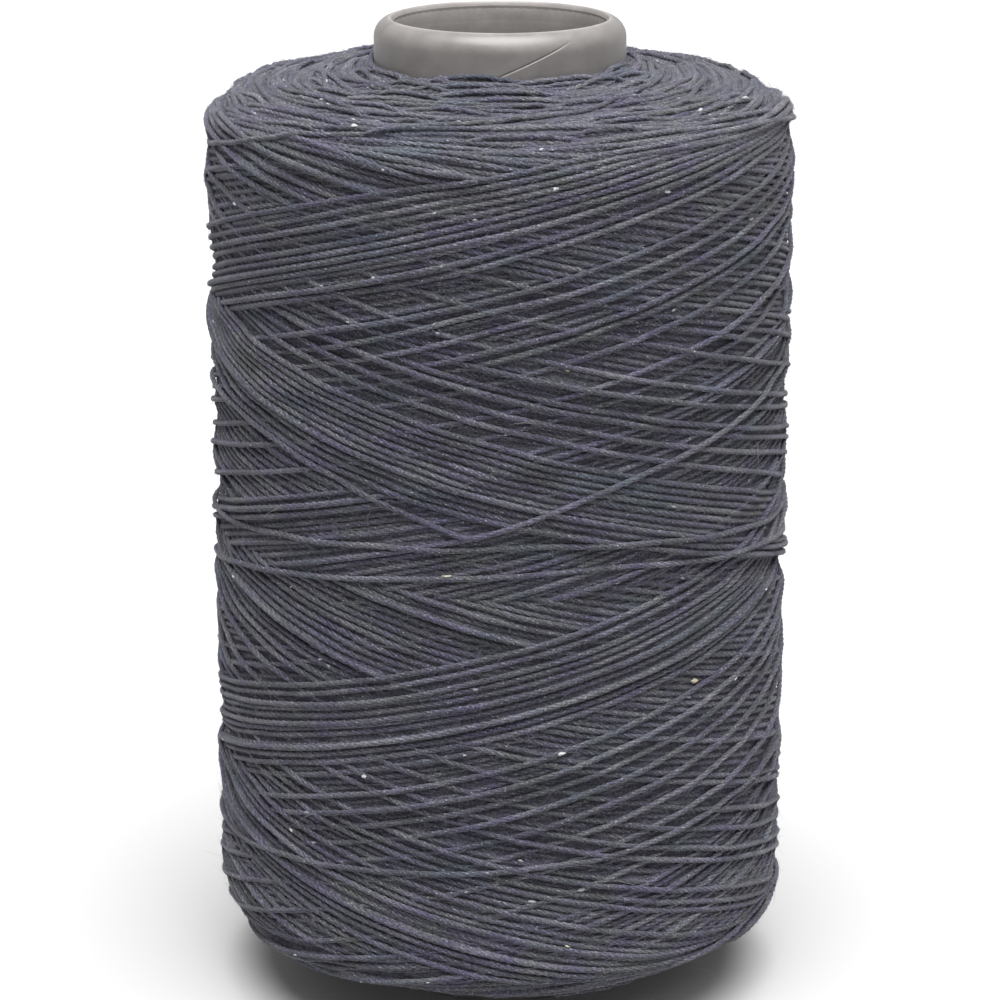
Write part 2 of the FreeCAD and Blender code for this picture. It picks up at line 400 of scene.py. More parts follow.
def last_turns(u_start, s_start):
    base = round((u_start + LAST_LEAD) / TURN) * TURN
    u_knots = [u_start] + [base + u for u, _ in LAST_TURNS] + [base + 740, base + 790, base + 840]
    s_side = [OUTLINE.s_at_height(height) for _, height in LAST_TURNS]
    s_top = [OUTLINE.side_end + 7, OUTLINE.length - 6, OUTLINE.length - 1.5]
    u = np.arange(u_knots[0], u_knots[-1], LAY_STEP)
    s = np.interp(u, u_knots, [s_start] + s_side + s_top)
    near = ease(1.6 - np.abs(u - base - TURN_BACK) / 30)
    return u, smooth(s, 14.0) * (1 - near) + smooth(s, 1.0) * near


def thread_course(rng):
    """The course of the thread through its outer layers: distance round the package, and s."""
    gaps = stroke_gaps(rng)
    start = -91.7 - 3 * TURN / 2 + sum(gaps) - 4 * TURN * (len(gaps) + 1)
    slow, quick = SharedDrift(rng, 130, 0.8), SharedDrift(rng, 38, 0.08)
    courses = []
    s_foot = OUTLINE.side_start - 4
    turns = np.zeros(6)
    for gap in gaps + [8]:
        keep = 0.985 if gap < OPEN_GAP[0] else 0.8
        middle, end = start + 2 * TURN + rng.normal(0, 0.3), start + 4 * TURN - gap
        turns = 0.95 * turns + 0.3 * rng.normal(0, 1, 6)
        s_head = OUTLINE.side_end + np.clip(4.5 + 1.6 * turns[0], 1, 8.5)
        s_next = OUTLINE.side_start - np.clip(4.5 + 1.6 * turns[1], 1, 8.5)
        ramps = np.clip(74 + 9 * turns[2:], 50, 100)
        for u, s in (
            stroke(start, middle, s_foot, s_head, ramps[:2]),
            stroke(middle, end, s_head, s_next, ramps[2:]),
        ):
            away = ease(np.minimum(u - u[0], u[-1] - u) / 40)
            courses.append((u, s + away * (slow.along(u, keep) + quick.along(u, 0.6))))
        s_foot, start = s_next, end
    courses.append(last_turns(start, s_foot))
    return (np.concatenate(part) for part in zip(*courses))


def wind():
    """Wind the visible layers and return the winding."""
    rng = np.random.default_rng(7)
    winding = Winding()
    lay_end_turns(winding, rng, at_top=False)
    lay_end_turns(winding, rng, at_top=True)
    u, s = thread_course(rng)
    winding.lay(u / PACKAGE_RADIUS, s, slide=1.0, sink=0.8, dive=1.3, tuck=14, press_every=12)
    winding.settle()
    return winding


# --------------------------------------------------
# Meshes
# --------------------------------------------------
def make_mesh(name, points, faces, uvs=None, values=None):
    """A smooth-shaded mesh object. points in millimetres, faces a list of index arrays (n, 3 or 4)."""
    mesh = bpy.data.meshes.new(name)
    mesh.vertices.add(len(points))
    mesh.vertices.foreach_set("co", (np.asarray(points) * MM).astype(np.float32).ravel())
    sizes = np.concatenate([np.full(len(f), f.shape[1]) for f in faces])
    loops = np.concatenate([f.ravel() for f in faces]).astype(np.int32)
    mesh.loops.add(len(loops))
    mesh.loops.foreach_set("vertex_index", loops)
    mesh.polygons.add(len(sizes))
    mesh.polygons.foreach_set("loop_start", np.concatenate([[0], np.cumsum(sizes)[:-1]]).astype(np.int32))
    mesh.polygons.foreach_set("use_smooth", np.ones(len(sizes), bool))
    if uvs is not None:
        layer = mesh.uv_layers.new(name="along_and_around")
        layer.data.foreach_set("uv", np.asarray(uvs, np.float32).ravel())
    for key, numbers in (values or {}).items():
        attribute = mesh.attributes.new(key, "FLOAT", "POINT")
        attribute.data.foreach_set("value", np.asarray(numbers, np.float32).ravel())
    mesh.update(calc_edges=True)
    mesh.validate()
    piece = bpy.data.objects.new(name, mesh)
    bpy.context.scene.collection.objects.link(piece)
    return piece


def place_on_root(piece, slot, material, *nodes):
    """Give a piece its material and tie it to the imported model."""
    piece.data.materials.append(material)
    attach(piece, "root")
    if nodes:
        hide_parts(*nodes)


def ring_quads(first, rings, sides):
    """Quads of open tubes whose points start at the indices first, ring after ring."""
    row = np.asarray(first)[:, None, None] + np.arange(rings - 1)[None, :, None] * sides
    here = np.arange(sides)[None, None, :]
    over = (here + 1) % sides
    corners = [row + here, row + over, row + sides + over, row + sides + here]
    return np.stack(corners, axis=-1).reshape(-1, 4)


def closed_quads(rows, columns):
    """Quads of a grid that closes on itself both ways, such as a section swept round an axis."""
    a, b = np.meshgrid(np.arange(rows), np.arange(columns), indexing="ij")
    over, next_row = (b + 1) % columns, (a + 1) % rows
    corners = [a * columns + b, a * columns + over, next_row * columns + over, next_row * columns + b]
    return np.stack(corners, axis=-1).reshape(-1, 4)


RING_STEP = 0.75         # millimetres between two rings of a thread's mesh
SIDES = 8                # four plies: a ridge and a valley each
RIDGE, VALLEY = 0.415, 0.295
MAX_RINGS = 11800        # rings in one piece


def frames(theta, s, height):
    """Centre line, sideways and outward directions of a strand."""
    centre = OUTLINE.points(theta, s, height)
    tangent = np.gradient(centre, axis=0)
    tangent /= np.linalg.norm(tangent, axis=1, keepdims=True)
    outward = OUTLINE.normals(theta, s)
    sideways = np.cross(tangent, outward)
    sideways /= np.linalg.norm(sideways, axis=1, keepdims=True)
    return centre, tangent, sideways, np.cross(sideways, tangent)


def tube_mesh(spans):
    """Twisted four-ply tubes along the spans, as points, faces, corner UVs and values by point.

    Each end of a tube is closed by a fan of triangles round one point.
    """
    points, quads, fans, quad_uvs, fan_uvs, tones, tints = [], [], [], [], [], [], []
    first = 0
    around = np.arange(SIDES)
    profile = np.where(around % 2 == 0, RIDGE, VALLEY)
    for span in spans:
        centre, tangent, sideways, outward = frames(span["theta"], span["s"], span["height"])
        angle = 2 * math.pi * (around[None, :] / SIDES - span["x"][:, None] / TWIST_PITCH)
        radius = profile[None, :] * span["girth"][:, None]
        ring = (
            centre[:, None, :]
            + sideways[:, None, :] * (np.cos(angle) * radius * 1.02)[..., None]
            + outward[:, None, :] * (np.sin(angle) * radius * 0.94)[..., None]
        )
        count = len(centre)
        caps = np.stack([centre[0] - tangent[0] * 0.15, centre[-1] + tangent[-1] * 0.15])
        points.append(np.concatenate([ring.reshape(-1, 3), caps]))

        quads.append(ring_quads([first], count, SIDES))
        u = span["x"]
        edges = (u[:-1, None], u[1:, None], around / SIDES, (around + 1) / SIDES)
        near, far, low, high = (np.broadcast_to(edge, (count - 1, SIDES)) for edge in edges)
        quad_uvs.append(np.stack([near, low, near, high, far, high, far, low], axis=-1).reshape(-1, 2))

        start_cap, end_cap = first + count * SIDES, first + count * SIDES + 1
        last = first + (count - 1) * SIDES
        next_one = (around + 1) % SIDES
        fans.append(np.stack([first + next_one, first + around, np.full(SIDES, start_cap)], axis=-1))
        fans.append(np.stack([last + around, last + next_one, np.full(SIDES, end_cap)], axis=-1))
        for where in (u[0], u[-1]):
            fan_uvs.append(np.tile([where, 0.5], (SIDES * 3, 1)))
        for store, key in ((tones, "tone"), (tints, "tint")):
            store.append(np.repeat(span[key], SIDES))
            store.append(span[key][[0, -1]])
        first += count * SIDES + 2
    uvs = np.concatenate(quad_uvs + fan_uvs)
    faces = [np.concatenate(quads), np.concatenate(fans)]
    values = {"tone": np.concatenate(tones), "tint": np.concatenate(tints)}
    return np.concatenate(points), faces, uvs, values


def resample(strand, offset, rng):
    """A strand at the mesh's spacing, with its colour and thickness drifting along it."""
    x = np.arange(0, strand["x"][-1], RING_STEP)
    span = {key: np.interp(x, strand["x"], strand[key]) for key in ("theta", "s", "height")}
    span["x"] = x + offset
    span["girth"] = 1 + wander(rng, x, 9.0, 0.035) + wander(rng, x, 1.7, 0.02)
    span["tone"] = wander(rng, x, 40, 0.35) + wander(rng, x, 11, 0.45) + wander(rng, x, 3.0, 0.35)
    span["tint"] = wander(rng, x, 60, 0.5) + wander(rng, x, 14, 0.5)
    return span


AT_SURFACE = 0.12        # a thread is at the surface when no more than this lies over it
STILL_SEEN = 0.45        # and is kept, down in a gap, under no more than this
CUT_DIVE = 0.7           # its cut ends turn down by this much


def visible_spans(winding, span, least=5.0, margin=2.6):
    """Cut away the long stretches that lie under whole layers of other thread."""
    r = OUTLINE.at(OUTLINE.r, span["s"])
    along, up = r * np.gradient(span["theta"]), np.gradient(span["s"])
    step = np.hypot(along, up)
    along, up = along / step, up / step
    cover = np.full(len(r), np.inf)
    for d in (-0.5, -0.25, 0.0, 0.25, 0.5):
        beside = winding.cells(span["theta"] - up * d / r, span["s"] + along * d)
        cover = np.minimum(cover, winding.top[beside])
    crown = span["height"] + THREAD / 2 * SQUEEZE
    span["open"] = crown > cover - AT_SURFACE
    flatness = winding.flatness[winding.cells(span["theta"], span["s"])]
    seen = cover - crown < STILL_SEEN * flatness
    reach = int(margin / RING_STEP)
    seen = np.convolve(seen, np.ones(2 * reach + 1), mode="same") > 0
    edges = np.flatnonzero(np.diff(np.concatenate([[0], seen.astype(int), [0]])))
    runs = []
    for a, b in zip(edges[::2], edges[1::2]):
        if (b - a) * RING_STEP > least:
            run = {key: values[a:b] for key, values in span.items()}
            to_end = np.minimum(run["x"] - run["x"][0], run["x"][-1] - run["x"])
            run["height"] = run["height"] - CUT_DIVE * (1 - ease(to_end / margin))
            runs.append(run)
    return runs


def make_thread(winding, material):
    """The thread as pieces of moderate size, from the innermost length to the outermost."""
    rng = np.random.default_rng(11)
    spans, offset = [], 0.0
    for strand in winding.strands:
        spans += visible_spans(winding, resample(strand, offset, rng))
        offset += strand["x"][-1]
    groups, rings = [[]], 0
    for span in spans:
        if rings + len(span["x"]) > MAX_RINGS:
            groups.append([])
            rings = 0
        groups[-1].append(span)
        rings += len(span["x"])
    for number, group in enumerate(groups, start=1):
        points, faces, uvs, values = tube_mesh(group)
        piece = make_mesh(f"thread_length_{number:02d}", points, faces, uvs, values)
        place_on_root(piece, "cotton_yarn", material, "yarn_winding")
    total = sum(len(span["x"]) for span in spans)
    metres = total * RING_STEP * MM
    print(f"thread: {metres:.1f} m shown in {len(groups)} pieces, {total * SIDES * 2} triangles")
    return spans


BED_ROWS, BED_COLUMNS = 290, 336      # mesh of the inner winding's surface
BED_DEPTH = (0.12, 0.40)              # how far it lies under the blurred thread: on the ends, the side
BED_BLUR = 0.55                       # width of that blur
BED_INSET = 0.3                       # how far it stays inside the height of the thread


def make_inner_winding(winding, material):
    """The bulk of the package, as a closed ring round the tube.

    Its surface is the matted thread and fluff that fills the gaps between the visible lengths.
    """
    theta = np.arange(BED_COLUMNS) * (2 * math.pi / BED_COLUMNS)
    rows = np.linspace(0, ROWS - 1, BED_ROWS)
    shape = winding.broad_shape(BED_BLUR)[:, ::COLUMNS // BED_COLUMNS]
    from_end = np.minimum(rows, ROWS - 1 - rows) * CELL
    depth = BED_DEPTH[0] + (BED_DEPTH[1] - BED_DEPTH[0]) * ease((from_end - OUTLINE.face) / OUTLINE.arc)
    below = np.minimum(rows.astype(int), ROWS - 2)
    share = (rows - below)[:, None]
    height = shape[below] * (1 - share) + shape[below + 1] * share - depth[:, None]
    rings = [OUTLINE.points(theta, np.full(BED_COLUMNS, row * CELL), h) for row, h in zip(rows, height)]
    grid = np.stack(rings)
    grid[..., 2] = np.clip(grid[..., 2], YARN_LOW[2] + BED_INSET, YARN_HIGH[2] - BED_INSET)
    flat = np.hypot(grid[..., 0], grid[..., 1])
    grid[..., :2] *= (np.maximum(flat, TUBE_RADIUS) / flat)[..., None]
    piece = make_mesh("inner_winding", grid.reshape(-1, 3), [closed_quads(BED_ROWS, BED_COLUMNS)])
    place_on_root(piece, "cotton_yarn", material, "yarn_winding")


# --------------------------------------------------
# Materials
# --------------------------------------------------
# The dyes that the thread varies between, its palest and darkest fibres, and its specks.
NAVY = (0.053, 0.049, 0.080, 1)
SLATE = (0.057, 0.060, 0.063, 1)
TEAL = (0.044, 0.058, 0.074, 1)
PALE_FIBRE = (0.175, 0.173, 0.192, 1)
DARK_FIBRE = (0.026, 0.025, 0.035, 1)
FLECK = (0.42, 0.41, 0.40, 1)
# The inner winding: colours darker than the thread's, as painted shade in the gaps between the visible
# lengths.
SHADED = (0.029, 0.028, 0.037, 1)
LESS_SHADED = (0.060, 0.059, 0.075, 1)
# Lint, and neps with the seed that colours a few of them.
DYED_LINT = (0.165, 0.163, 0.194, 1)
PALE_LINT = (0.34, 0.34, 0.37, 1)
DULL_NEP = (0.14, 0.14, 0.16, 1)
CLEAN_NEP = (0.38, 0.375, 0.39, 1)
SEED = (0.42, 0.38, 0.27, 1)
# The tube's smooth cover, and the raw board inside its wall.
COVER_LIGHT = (0.150, 0.140, 0.135, 1)
COVER_DARK = (0.110, 0.103, 0.099, 1)
BOARD_LIGHT = (0.20, 0.188, 0.178, 1)
BOARD_DARK = (0.14, 0.13, 0.12, 1)


def new_material(name, roughness, specular):
    material = bpy.data.materials.new(name)
    material.use_nodes = True
    shader = material.node_tree.nodes["Principled BSDF"]
    shader.inputs["Roughness"].default_value = roughness
    shader.inputs["Specular IOR Level"].default_value = specular
    return material, material.node_tree, shader


def add_node(tree, kind, **settings):
    node = tree.nodes.new(kind)
    for key, value in settings.items():
        if key in node.inputs:
            node.inputs[key].default_value = value
        else:
            setattr(node, key, value)
    return node


def feed(tree, socket, value):
    """Link another node's output to the socket, or set it to a plain value."""
    if isinstance(value, bpy.types.NodeSocket):
        tree.links.new(value, socket)
    else:
        socket.default_value = value


def mix_colours(tree, factor, first, second, blend="MIX"):
    node = add_node(tree, "ShaderNodeMix", data_type="RGBA", blend_type=blend)
    for place, value in ((0, factor), (6, first), (7, second)):
        feed(tree, node.inputs[place], value)
    return node.outputs[2]


def compute(tree, operation, *values):
    """One step of arithmetic on sockets and numbers."""
    node = add_node(tree, "ShaderNodeMath", operation=operation)
    for socket, value in zip(node.inputs, values):
        feed(tree, socket, value)
    return node.outputs[0]


def bump(tree, height, strength, distance, under=None):
    """Normal of a relief as high as distance, in metres, over the normal under."""
    node = add_node(tree, "ShaderNodeBump", Strength=strength, Distance=distance)
    tree.links.new(height, node.inputs["Height"])
    if under is not None:
        tree.links.new(under, node.inputs["Normal"])
    return node.outputs["Normal"]


def own_value(tree, name):
    """A number that the mesh carries at each point."""
    return add_node(tree, "ShaderNodeAttribute", attribute_name=name).outputs["Fac"]


def own_place(tree):
    return add_node(tree, "ShaderNodeTexCoord").outputs["Object"]


def remap(tree, value, low, high, to_low, to_high):
    """A clamped map of the value from one range to another."""
    node = tree.nodes.new("ShaderNodeMapRange")
    tree.links.new(value, node.inputs["Value"])
    for key, number in (("From Min", low), ("From Max", high), ("To Min", to_low), ("To Max", to_high)):
        node.inputs[key].default_value = number
    return node.outputs["Result"]


def scale_by(tree, colour, value):
    """Multiply a colour by one number."""
    grey = tree.nodes.new("ShaderNodeCombineColor")
    for channel in ("Red", "Green", "Blue"):
        tree.links.new(value, grey.inputs[channel])
    return mix_colours(tree, 1.0, colour, grey.outputs["Color"], "MULTIPLY")


def noise_at(tree, vector, stretch, detail, roughness):
    """Noise whose grain is 1 / stretch of the vector's unit on each axis."""
    mapping = add_node(tree, "ShaderNodeMapping", Scale=stretch)
    tree.links.new(vector, mapping.inputs["Vector"])
    noise = add_node(tree, "ShaderNodeTexNoise", Scale=1.0, Detail=detail, Roughness=roughness)
    tree.links.new(mapping.outputs["Vector"], noise.inputs["Vector"])
    return noise.outputs["Fac"]


def painted_ply_shade(tree, course):
    """Painted light and shade: lighter on the four plies and darker in the grooves between them."""
    split = tree.nodes.new("ShaderNodeSeparateXYZ")
    tree.links.new(course, split.inputs["Vector"])
    wave = compute(tree, "COSINE", compute(tree, "MULTIPLY", split.outputs["Y"], 8 * math.pi))
    return remap(tree, wave, -1.0, 1.0, 0.68, 1.16)


def thread_material():
    """Dyed cotton: the dye takes unevenly along the thread, and each fibre catches the light.

    The map runs along the thread in millimetres and once round it following the plies.
    """
    material, tree, shader = new_material("dyed_cotton_thread", 0.9, 0.2)
    shader.inputs["Sheen Weight"].default_value = 0.12
    shader.inputs["Sheen Roughness"].default_value = 0.45
    tone, tint = own_value(tree, "tone"), own_value(tree, "tint")
    course = add_node(tree, "ShaderNodeUVMap", uv_map="along_and_around").outputs["UV"]
    place = own_place(tree)
    strands = noise_at(tree, course, (0.9, 9.0, 1.0), 3.0, 0.6)
    fuzz = noise_at(tree, place, (3600.0, 3600.0, 5200.0), 2.0, 0.7)
    patches = noise_at(tree, place, (190.0, 190.0, 260.0), 2.0, 0.6)
    tinge = noise_at(tree, place, (75.0, 75.0, 140.0), 3.0, 0.7)
    plies = painted_ply_shade(tree, course)

    uneven = compute(tree, "MULTIPLY_ADD", tint, 0.45, remap(tree, patches, 0.3, 0.7, -1.0, 1.0))
    dye = mix_colours(tree, remap(tree, uneven, -1.0, 1.0, 0.0, 1.0), NAVY, SLATE)
    dye = mix_colours(tree, remap(tree, tinge, 0.52, 0.70, 0.0, 0.7), dye, TEAL)
    lighter = mix_colours(tree, remap(tree, tone, 0.0, 1.6, 0.0, 0.35), dye, PALE_FIBRE)
    darker = mix_colours(tree, remap(tree, tone, -1.6, 0.0, 0.5, 0.0), lighter, DARK_FIBRE)
    streaky = scale_by(tree, darker, remap(tree, strands, 0.3, 0.7, 0.6, 1.4))
    fuzzy = scale_by(tree, streaky, remap(tree, fuzz, 0.38, 0.62, 0.58, 1.46))
    # painted light and shade on the plies: darker in the grooves between them, lighter on their crests
    plied = scale_by(tree, fuzzy, plies)
    colour = mix_colours(tree, remap(tree, fuzz, 0.66, 0.72, 0.0, 0.8), plied, FLECK)
    tree.links.new(colour, shader.inputs["Base Color"])

    rough = bump(tree, fuzz, 0.7, 0.00012)
    tree.links.new(bump(tree, strands, 0.6, 0.00010, under=rough), shader.inputs["Normal"])
    return material


def core_material():
    """Matted thread and fluff between the visible lengths, painted a little darker than they are as painted
    shade in the gaps.
    """
    material, tree, shader = new_material("matted_inner_thread", 0.95, 0.1)
    place = own_place(tree)
    strands = noise_at(tree, place, (420.0, 420.0, 2400.0), 3.0, 0.6)
    fluff = noise_at(tree, place, (3600.0, 3600.0, 3600.0), 2.0, 0.7)
    # painted shade: both colours of the matted thread are darker than the visible thread
    colour = mix_colours(tree, remap(tree, strands, 0.3, 0.7, 0.0, 1.0), SHADED, LESS_SHADED)
    colour = scale_by(tree, colour, remap(tree, fluff, 0.38, 0.62, 0.6, 1.5))
    tree.links.new(colour, shader.inputs["Base Color"])
    tree.links.new(bump(tree, strands, 0.8, 0.0002), shader.inputs["Normal"])
    return material


def paper_material(name, light, dark, roughness):
    """Calendered grey board: cloudy, with short fibres pressed flat, and painted paler inside the mouth as
    painted light.
    """
    material, tree, shader = new_material(name, roughness, 0.45)
    clouds = noise_at(tree, own_place(tree), (260.0, 260.0, 260.0), 4.0, 0.6)
    flecks = noise_at(tree, own_place(tree), (2600.0, 2600.0, 7800.0), 2.0, 0.5)
    base = mix_colours(tree, remap(tree, clouds, 0.3, 0.7, 0.0, 1.0), dark, light)
    flecked = mix_colours(tree, remap(tree, flecks, 0.62, 0.75, 0.0, 0.5), base, dark)
    # painted light: the board is painted up to 1.7 times paler inside the mouth, by the mesh's own value
    colour = scale_by(tree, flecked, remap(tree, own_value(tree, "painted_mouth_light"), 0.0, 1.0, 1.0, 1.7))
    tree.links.new(colour, shader.inputs["Base Color"])
    uneven = remap(tree, clouds, 0.3, 0.7, roughness - 0.07, roughness + 0.1)
    tree.links.new(uneven, shader.inputs["Roughness"])
    tree.links.new(bump(tree, flecks, 0.25, 0.00005), shader.inputs["Normal"])
    return material


def nep_material():
    """Off-white cotton with the odd straw-coloured speck of seed."""
    material, tree, shader = new_material("undyed_nep", 0.85, 0.3)
    tint = own_value(tree, "tint")
    mottle = noise_at(tree, own_place(tree), (5200.0, 5200.0, 5200.0), 2.0, 0.6)
    cotton = mix_colours(tree, remap(tree, tint, 0.0, 0.8, 0.0, 1.0), DULL_NEP, CLEAN_NEP)
    colour = mix_colours(tree, remap(tree, tint, 0.94, 0.96, 0.0, 1.0), cotton, SEED)
    colour = scale_by(tree, colour, remap(tree, mottle, 0.35, 0.65, 0.7, 1.2))
    tree.links.new(colour, shader.inputs["Base Color"])
    return material


def lint_material(name, colour):
    """Loose fibres, paler and darker along their length."""
    material, tree, shader = new_material(name, 0.9, 0.3)
    noise = noise_at(tree, own_place(tree), (900.0, 900.0, 900.0), 2.0, 0.5)
    darker = tuple(0.6 * c for c in colour[:3]) + (1,)
    tree.links.new(mix_colours(tree, noise, darker, colour), shader.inputs["Base Color"])
    return material


# --------------------------------------------------
# The paper tube
# --------------------------------------------------
def seam_angle(z):
    """Angle from the front at which the butt seam passes the height z."""
    return 2 * math.pi * (z - YARN_HIGH[2] - SEAM_FRONT_RISE) / SEAM_PITCH


def seam_relief(across):
    """Surface height beside a butt seam: a fine gap, and the lower strip standing a little proud."""
    gap = -0.085 * np.exp(-((across - 0.09) / 0.07) ** 2)
    lip = 0.04 * ease(1 + across / 2.4) * (across < 0) * ease(-across / 0.05 + 0.2)
    return gap + lip


def make_board(name, rings, seam_radius, slot, material):
    """A layer of board from its section, rings of (radius, height, seam depth, seam angle).

    The columns of the mesh follow the butt seam round the tube, crowded together beside it.
    Inside the mouth the board is painted paler, as painted light.
    """
    slope = math.atan(SEAM_PITCH / (2 * math.pi * seam_radius))
    beside = np.array([-2.4, -1.2, -0.5, -0.2, -0.1, -0.05, 0.0, 0.04, 0.09, 0.14, 0.2, 0.35, 0.8])[::-1]
    near = -beside / math.sin(slope) / seam_radius
    far = np.linspace(near[-1], 2 * math.pi + near[0], 150)[1:-1]
    relief = np.concatenate([seam_relief(beside), np.zeros(len(far))])
    columns = np.concatenate([near, far])
    grid = []
    for r, z, depth, turn in rings:
        radius = r + relief * depth
        theta = columns + turn
        grid.append(np.stack([radius * np.sin(theta), -radius * np.cos(theta), np.full(len(theta), z)], -1))
    r, z = np.array(rings)[:, 0], np.array(rings)[:, 1]
    # painted light: how much paler the board is painted inside the mouth
    painted_mouth_light = ease((TUBE_RADIUS - 1.6 - r) / 0.9) * ease((z - COVER_HIGH[2] + 14) / 12)
    values = {"painted_mouth_light": np.repeat(painted_mouth_light, len(columns))}
    faces = [closed_quads(len(rings), len(columns))]
    piece = make_mesh(f"{name}_board", np.concatenate(grid), faces, values=values)
    place_on_root(piece, slot, material, name)


def make_cover(material):
    """The outermost layer, up over the nose and rolled a little way into the mouth."""
    top = COVER_HIGH[2]
    nose = TUBE_RADIUS - MOUTH_RADIUS
    bend = top - nose
    rings = [(TUBE_RADIUS - 0.12, 0.0, 0.0, seam_angle(0.0))]
    rings += [(TUBE_RADIUS, z, 1.0, seam_angle(z)) for z in np.linspace(0.12, bend, 270)]
    for a in np.radians(np.arange(6, 79, 6)):
        z = bend + nose * math.sin(a)
        rings.append((MOUTH_RADIUS + nose * math.cos(a), z, 1 - ease(a / 0.7), seam_angle(z)))
    mouth, width = MOUTH_RADIUS - ROLLED_IN, nose * math.cos(a) - 0.1 + ROLLED_IN
    for a in np.radians(np.arange(5, 91, 5)):
        z = top - ROLL_DEPTH * (1 - math.cos(a))
        rings.append((mouth + width * (1 - math.sin(a)), z, 0.0, seam_angle(top)))
    for r, z in ((0, 0.3), (0.005, 0.5), (0.015, 0.7), (0.15, 0.8)):
        rings.append((mouth + r, top - ROLL_DEPTH - z, 0.0, seam_angle(top)))
    turns = 2 * math.pi * round((seam_angle(top) - seam_angle(0)) / (2 * math.pi))
    for share in np.linspace(0.1, 1, 12):
        z = (top - 3.6) * (1 - share)
        turn = seam_angle(top) * (1 - share) + (seam_angle(0) + turns) * share
        rings.append((TUBE_RADIUS - PLY_THICKNESS, z, 0.0, turn))
    make_board("tube_cover_ply", rings, TUBE_RADIUS, "paper_cover", material)


def make_liner(material):
    """The innermost layer: it lines the bore and narrows smoothly to the cover's rolled edge."""
    outer, top = LINER_HIGH[1], COVER_HIGH[2]
    bore = outer - PLY_THICKNESS
    mouth, joint = MOUTH_RADIUS - ROLLED_IN, top - ROLL_DEPTH - 0.5
    at_foot, at_top = seam_angle(LINER_SEAM_DROP), seam_angle(top)
    rings = [(mouth + r, joint + z, 0.0, at_top) for r, z in ((0.15, 0.3), (0.012, 0.2), (0.005, 0.05))]
    for share in np.linspace(0, 1, 16):
        r = mouth + (bore - mouth) * ease(share)
        rings.append((r, joint - 0.1 - NARROWED * share, 0.0, at_top))
    straight = joint - 0.1 - NARROWED
    for z in np.linspace(straight - 0.3, 0.1, 260):
        rings.append((bore, z, -ease((straight - z) / 2), seam_angle(z + LINER_SEAM_DROP)))
    rings += [(bore + 0.08, 0.0, 0.0, at_foot), (outer, 0.0, 0.0, at_foot)]
    turns = 2 * math.pi * round((at_top - at_foot) / (2 * math.pi))
    for share in np.linspace(0.1, 1, 12):
        turn = (at_foot + turns) * (1 - share) + at_top * share
        rings.append((outer - 0.6 * ease(share * 12 - 11), (top - 3.2) * share, 0.0, turn))
    make_board("tube_liner_ply", rings, bore, "paper_liner", material)


def make_tube():
    cover = paper_material("grey_cover_paper", COVER_LIGHT, COVER_DARK, 0.40)
    board = paper_material("grey_core_board", BOARD_LIGHT, BOARD_DARK, 0.75)
    make_cover(cover)
    make_liner(cover)
    for name in ("tube_inner_core_ply", "tube_outer_core_ply"):
        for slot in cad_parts[name].material_slots:
            slot.material = board


# --------------------------------------------------
# Lint: short fibres that stand off the thread, and undyed neps caught in it
# --------------------------------------------------
def open_places(spans):
    """Every mesh ring that lies at the surface: its centre, tangent, sideways and outward."""
    kept = []
    for span in spans:
        centre, tangent, sideways, outward = frames(span["theta"], span["s"], span["height"])
        mask = span["open"]
        kept.append(np.concatenate([centre, tangent, sideways, outward], axis=1)[mask])
    return np.concatenate(kept)


def make_fibres(places, material, rng, count, name, length, thickness):
    """Curved hairs, each a three-sided tapering tube of three rings."""
    chosen = places[rng.integers(0, len(places), count)]
    centre, tangent, sideways, outward = (chosen[:, i:i + 3] for i in (0, 3, 6, 9))
    sign = rng.choice([-1.0, 1.0], count)[:, None]
    lean = rng.normal(0, 0.5, count)[:, None]
    start = centre + sideways * (0.36 * np.sin(lean)) + outward * 0.36 * np.cos(lean)
    way = tangent * sign + sideways * rng.normal(0, 0.55, (count, 1))
    way = way + outward * rng.uniform(0.02, 0.5, (count, 1))
    way /= np.linalg.norm(way, axis=1, keepdims=True)
    curl = rng.normal(0, 0.9, (count, 3)) - outward * 0.7
    size = (rng.uniform(*length, count))[:, None]
    t = np.array([-0.1, 0.45, 1.0])
    path = start[:, None] + way[:, None] * (size[:, None] * t[None, :, None])
    path = path + curl[:, None] * (size[:, None] * 0.35 * (t**2)[None, :, None])
    side = np.cross(way, outward)
    side /= np.linalg.norm(side, axis=1, keepdims=True)
    up = np.cross(side, way)
    radius = thickness * np.array([1.0, 0.85, 0.3])
    angle = np.arange(3) * (2 * math.pi / 3)
    ring = (
        side[:, None, None] * (np.cos(angle)[None, None, :, None] * radius[None, :, None, None])
        + up[:, None, None] * (np.sin(angle)[None, None, :, None] * radius[None, :, None, None])
    )
    points = (path[:, :, None] + ring).reshape(-1, 3)
    first = np.arange(count) * 9
    ends = np.concatenate([
        np.stack([first + 2, first + 1, first], axis=-1),
        np.stack([first + 6, first + 7, first + 8], axis=-1),
    ])
    piece = make_mesh(name, points, [ring_quads(first, 3, 3), ends])
    place_on_root(piece, "cotton_yarn", material)


